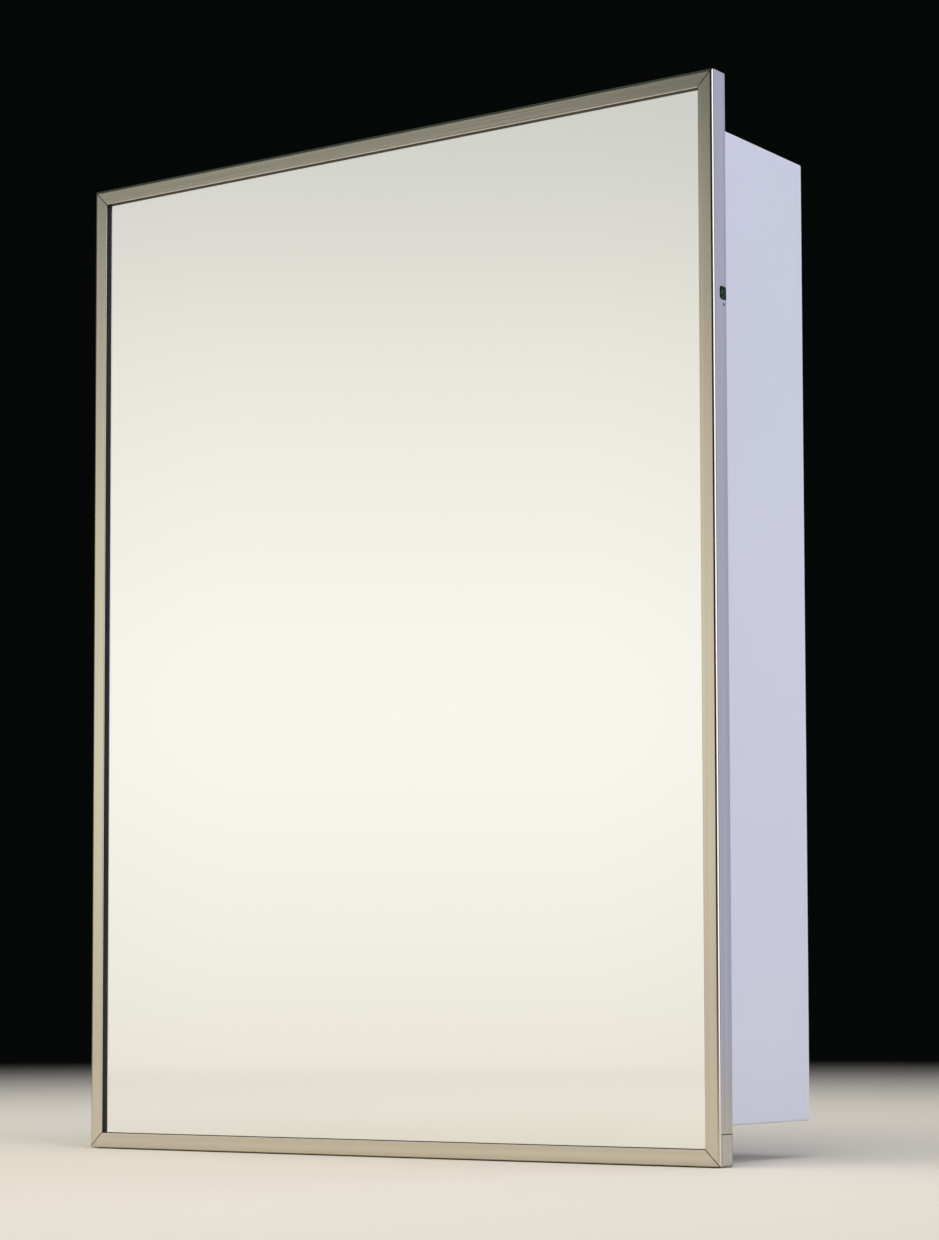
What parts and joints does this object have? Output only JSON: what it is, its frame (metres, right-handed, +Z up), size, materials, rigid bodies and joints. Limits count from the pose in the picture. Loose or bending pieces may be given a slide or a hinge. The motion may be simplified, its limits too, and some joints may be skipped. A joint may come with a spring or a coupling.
{
  "type": "recessed medicine cabinet",
  "caption": "Recessed wall cabinet for medicines: white steel box with glass shelves behind a hinged mirror door in a satin steel channel frame.",
  "frame": {"origin": "centre of the body's back face, in the plane that lies against the wall", "axes": "+X to the right for someone facing the mirror (the free edge of the door; the hinge is at -X), +Y into the wall, +Z up"},
  "size_m": [0.4622, 0.139, 0.6096],
  "materials": {
    "body_enamel": "cool white baked enamel on sheet steel",
    "pan_enamel": "cool white baked enamel on sheet steel",
    "frame_stainless": "satin stainless steel, brushed along each member",
    "mirror": "silvered float glass",
    "gasket_rubber": "black extruded strip",
    "backing_board": "hardboard",
    "zinc_fasteners": "bright zinc plate",
    "hinge_stainless": "mill-finish stainless steel",
    "black_phosphate": "oiled black phosphate",
    "bumper_rubber": "clear-grey soft bumper",
    "standard_steel": "bright zinc plate",
    "clip_steel": "bright zinc plate",
    "shelf_glass": "clear glass with ground edges",
    "catch_plastic": "white moulded acetal",
    "ferrite": "sintered ferrite"
  },
  "bodies": {
    "cabinet": {"side_panel_right": "body_enamel", "side_panel_left": "body_enamel", "top_panel": "body_enamel", "bottom_panel": "body_enamel", "back_panel": "body_enamel", "door_bumpers": "bumper_rubber", "shelf_standard_rear_right": "standard_steel", "shelf_standard_rear_left": "standard_steel", "shelf_standard_front_right": "standard_steel", "shelf_standard_front_left": "standard_steel", "shelf_lower": "shelf_glass", "shelf_clips_lower": "clip_steel", "shelf_middle": "shelf_glass", "shelf_clips_middle": "clip_steel", "shelf_upper": "shelf_glass", "shelf_clips_upper": "clip_steel", "hinge_body_leaf": "hinge_stainless", "hinge_pin": "hinge_stainless", "catch_housing": "catch_plastic", "catch_screws": "zinc_fasteners"},
    "door": {"frame_stile_right": "frame_stainless", "frame_stile_left": "frame_stainless", "frame_rail_top": "frame_stainless", "frame_rail_bottom": "frame_stainless", "corner_angles": "black_phosphate", "mirror_glass": "mirror", "mirror_gasket": "gasket_rubber", "mirror_backing": "backing_board", "door_back_pan": "pan_enamel", "back_pan_screws": "zinc_fasteners", "hinge_door_leaf": "hinge_stainless", "hinge_rivets": "zinc_fasteners", "strike_plate": "zinc_fasteners", "strike_rivets": "zinc_fasteners", "strike_screw": "black_phosphate", "strike_nut": "black_phosphate"},
    "magnet": {"catch_magnet": "ferrite", "catch_pole_plates": "zinc_fasteners"}
  },
  "joints": [
    {"name": "door_hinge", "type": "hinge", "parent": "cabinet", "child": "door", "pos_m": [-0.2312, -0.1242, 0], "axis": [0, 0, -1], "range_deg": [0, 100]},
    {"name": "magnet_float", "type": "slide", "parent": "cabinet", "child": "magnet", "axis": [0, 1, 0], "range_m": [0, 0.001]}
  ]
}
